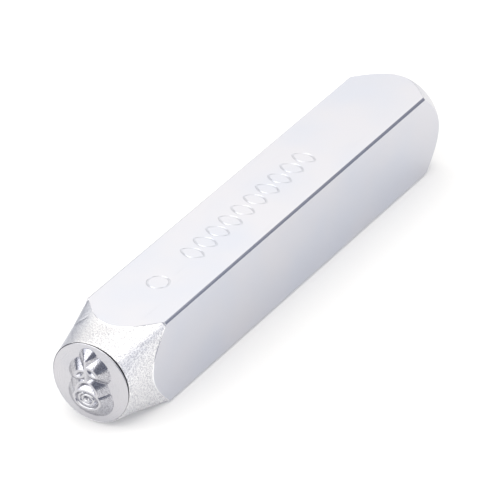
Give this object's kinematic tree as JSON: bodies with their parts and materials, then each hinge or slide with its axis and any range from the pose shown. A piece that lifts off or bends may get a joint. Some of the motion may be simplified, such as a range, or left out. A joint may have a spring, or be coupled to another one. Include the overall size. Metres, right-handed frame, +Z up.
{
  "type": "stamping tool",
  "caption": "Square steel leather stamping tool with a scalloped nose, a round die carrying a raised flower design, and a coned striking end.",
  "frame": {"origin": "under the middle of the tool's length and width, on the surface that the tool lies on", "axes": "+X along the tool, from the die to the striking end; +Z up, away from the flank that the tool lies on"},
  "size_m": [0.0642, 0.01, 0.01],
  "materials": {
    "plated_shank": "bright satin plating on ground steel, with a matt, grainy nose",
    "plated_die": "satin plating with a bright raised design"
  },
  "bodies": {
    "root": {"shank": "plated_shank", "stamping_die": "plated_die"}
  },
  "joints": []
}
